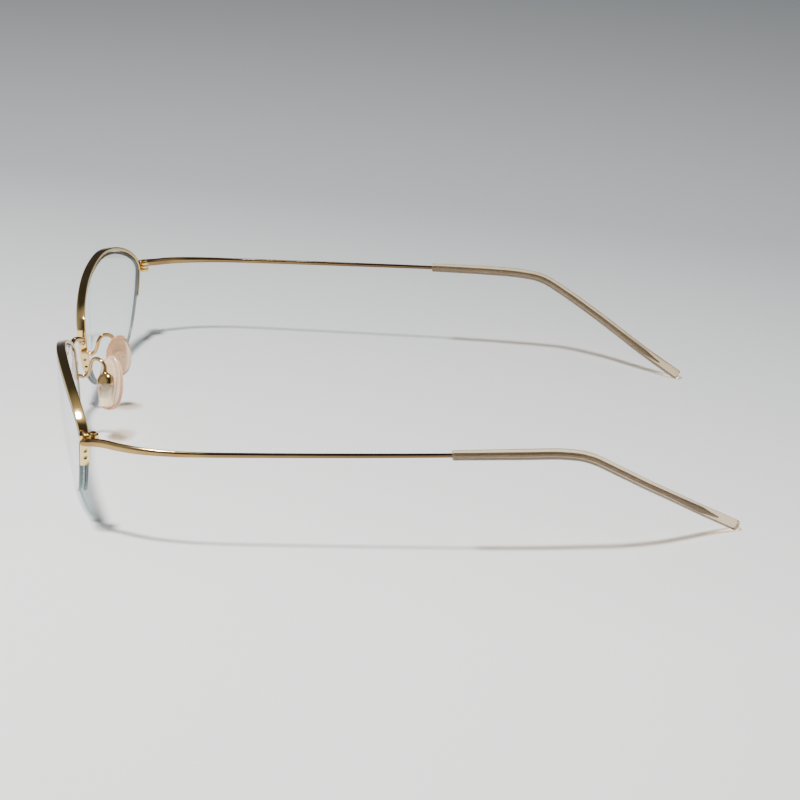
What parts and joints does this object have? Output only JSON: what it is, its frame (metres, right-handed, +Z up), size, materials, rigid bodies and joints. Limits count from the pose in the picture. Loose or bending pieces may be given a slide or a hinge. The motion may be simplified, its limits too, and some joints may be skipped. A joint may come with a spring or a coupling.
{
  "type": "half-rim eyeglasses",
  "caption": "Half-rim wire eyeglasses: oval clear lenses held by an upper wire rim and a nylon cord, silicone nose pads, and folding wire temples with clear tan tips.",
  "frame": {"origin": "on the table plane under the lenses and tip ends, midway across the width and the depth", "axes": "+X to the wearer's left, -Y the way the lenses face, +Y along the open temples, +Z up"},
  "size_m": [0.1348, 0.1358, 0.0273],
  "materials": {
    "polished_gold": "polished, yellow gold plate",
    "bright_steel": "bright",
    "demo_lens": "clear, slightly blue-green at the edge",
    "nylon_thread": "clear nylon",
    "pad_silicone": "soft, milky peach",
    "pad_insert_plastic": "clear",
    "tip_acetate": "clear tan, polished"
  },
  "bodies": {
    "front": {"bridge": "polished_gold", "half_rim_left": "polished_gold", "half_rim_right": "polished_gold", "rim_liner_left": "nylon_thread", "rim_liner_right": "nylon_thread", "lens_left": "demo_lens", "lens_right": "demo_lens", "lens_cord_left": "nylon_thread", "lens_cord_right": "nylon_thread", "pad_arm_left": "polished_gold", "pad_arm_right": "polished_gold", "pad_box_left": "polished_gold", "pad_box_right": "polished_gold", "pad_screw_left": "bright_steel", "pad_screw_right": "bright_steel", "end_piece_left": "polished_gold", "end_piece_right": "polished_gold", "hinge_front_left": "polished_gold", "hinge_front_right": "polished_gold", "hinge_screw_left": "polished_gold", "hinge_screw_right": "polished_gold"},
    "temple_left": {"hinge_temple_left": "polished_gold", "temple_left": "polished_gold", "temple_tip_left": "tip_acetate"},
    "pad_left": {"nose_pad_left": "pad_silicone", "pad_insert_left": "pad_insert_plastic"},
    "temple_right": {"hinge_temple_right": "polished_gold", "temple_right": "polished_gold", "temple_tip_right": "tip_acetate"},
    "pad_right": {"nose_pad_right": "pad_silicone", "pad_insert_right": "pad_insert_plastic"}
  },
  "joints": [
    {"name": "left_temple_fold", "type": "hinge", "parent": "front", "child": "temple_left", "pos_m": [0.06, -0.057, 0.01815], "axis": [0, 0, 1], "range_deg": [0, 85]},
    {"name": "right_temple_fold", "type": "hinge", "parent": "front", "child": "temple_right", "pos_m": [-0.06, -0.057, 0.01815], "axis": [0, 0, -1], "range_deg": [0, 74]},
    {"name": "left_pad_rock", "type": "hinge", "parent": "front", "child": "pad_left", "pos_m": [0.0105, -0.05922, 0.01306], "axis": [-0.4531, -0.866, -0.2113], "range_deg": [-8, 8]},
    {"name": "right_pad_rock", "type": "hinge", "parent": "front", "child": "pad_right", "pos_m": [-0.0105, -0.05922, 0.01306], "axis": [0.4531, -0.866, -0.2113], "range_deg": [-8, 8]}
  ]
}
